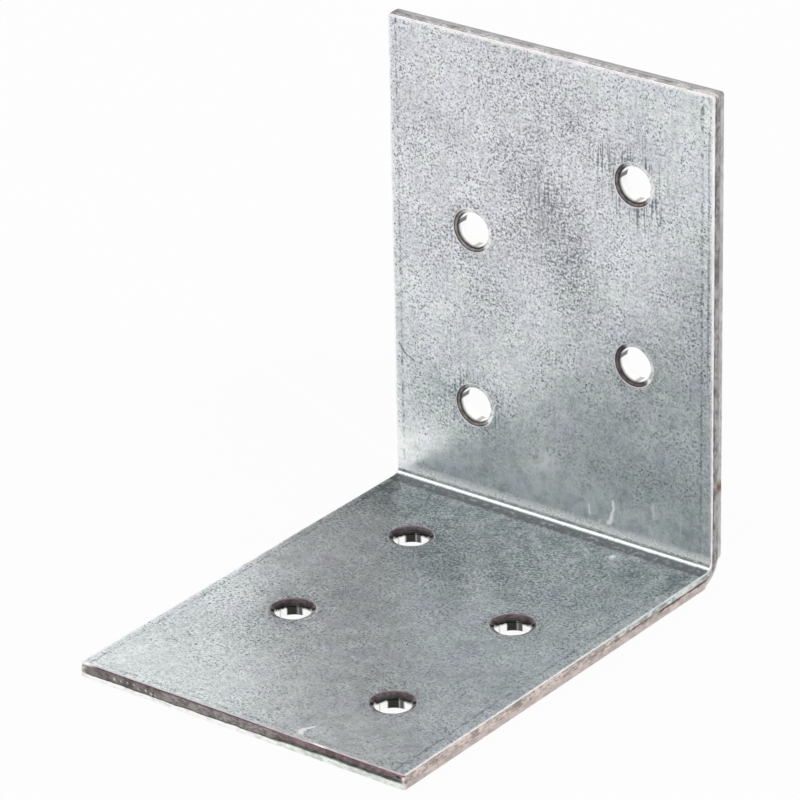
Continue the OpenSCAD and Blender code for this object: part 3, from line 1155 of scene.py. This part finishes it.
def matt_panel(name, corners, finish_name, grey):
    """A flat panel of four corners in matt grey, with the nodes and the shader of its paint."""
    mesh = bpy.data.meshes.new(name)
    mesh.from_pydata(corners, [], [(0, 1, 2, 3)])
    finish, tree, shader = new_finish(finish_name)
    fill(shader, {"Base Color": (grey, grey, grey, 1), "Roughness": 0.9})
    mesh.materials.append(finish)
    return placed(name, mesh), tree, shader


def blended(factor, first, second):
    """One shader blended into another by a factor."""
    return chained("ShaderNodeMixShader", {0: factor, 1: first, 2: second})


white = (1, 1, 1, 1)
floor_half, floor_drop, floor_glow = 2.0, 0.0001, 0.94
around = ((-1, -1), (1, -1), (1, 1), (-1, 1))
floor_corners = [(x * floor_half, y * floor_half, -floor_drop) for x, y in around]
floor, tree, shader = matt_panel("floor", floor_corners, "white_table", grey=0.9)
plain_white = fill(tree.nodes.new("ShaderNodeEmission"), {"Color": white, "Strength": 1.0}).outputs[0]
glow_share = product(seen_or_mirrored(tree), floor_glow)
from_above = blended(glow_share, shader.outputs["BSDF"], plain_white)
clear = tree.nodes.new("ShaderNodeBsdfTransparent").outputs[0]
from_below = tree.nodes.new("ShaderNodeNewGeometry").outputs["Backfacing"]
fill(tree.nodes["Material Output"], {"Surface": blended(from_below, from_above, clear)})
print("Floor, m:", 2 * floor_half)

# %% World
room_strength = 0.85
world = bpy.data.worlds.new("bright_room")
world.use_nodes = True
bpy.context.scene.world = world
tree = world.node_tree
room = fill(tree.nodes["Background"], {"Color": white, "Strength": room_strength})
backdrop = fill(tree.nodes.new("ShaderNodeBackground"), {"Color": white, "Strength": 1.0})
choice = blended(seen_or_mirrored(tree), room.outputs[0], backdrop.outputs[0])
fill(tree.nodes["World Output"], {"Surface": choice})
print("World strength:", room_strength)

# %% Soft box
def soft_box(name, direction, distance, size, brightness):
    """A square lamp that looks at the brace; brightness 1 would render as white."""
    lamp_data = bpy.data.lights.new(name, "AREA")
    lamp_data.shape = "SQUARE"
    lamp_data.size = size
    lamp_data.energy = brightness * math.pi * size ** 2
    lamp = placed(name, lamp_data)
    towards = Vector(direction).normalized()
    lamp.location = camera_aim + towards * distance
    lamp.rotation_euler = towards.to_track_quat("Z", "Y").to_euler()
    lamp.visible_camera = False
    return lamp


bpy.context.scene.view_settings.view_transform = "Standard"
key_box = soft_box("key_soft_box", direction=(-0.545, -0.423, 0.724), distance=0.8, size=0.16, brightness=1.5)
print("Key lamp, W:", round(key_box.data.energy, 2))

# %% [markdown]
# ## Grey screens
# Where the foot mirrors the wall it looks grey, and past the wall's left edge it would
# mirror the white room and look white. A grey screen behind that edge evens this out, as a
# card does in a studio. The second screen hangs in front at the left, where each leg looks
# by way of the other, and calms the light near the fold. The camera sees neither of them.

# %% Grey screens
def grey_screen(name, corners, grey):
    """A flat grey screen that only mirrors and lamps notice."""
    screen, _, _ = matt_panel(name, corners, name, grey)
    screen.visible_camera = False


def facing_corners(direction, distance, size):
    """Corners of a square that faces the brace from a direction."""
    towards = Vector(direction).normalized()
    sideways = towards.cross(Vector((0, 0, 1))).normalized() * size / 2
    upwards = sideways.cross(towards).normalized() * size / 2
    middle = camera_aim + towards * distance
    lower = [middle - sideways - upwards, middle + sideways - upwards]
    return lower + [middle + sideways + upwards, middle - sideways + upwards]


behind_left = [(-33, 44, 1), (-78, 62, 1), (-78, 62, 140), (-33, 44, 140)]
grey_screen("screen_behind_left", [Vector(corner) * MM for corner in behind_left], grey=0.5)
front_left_square = facing_corners(direction=(-0.545, -0.724, 0.423), distance=0.6, size=0.34)
grey_screen("screen_front_left", front_left_square, grey=0.84)
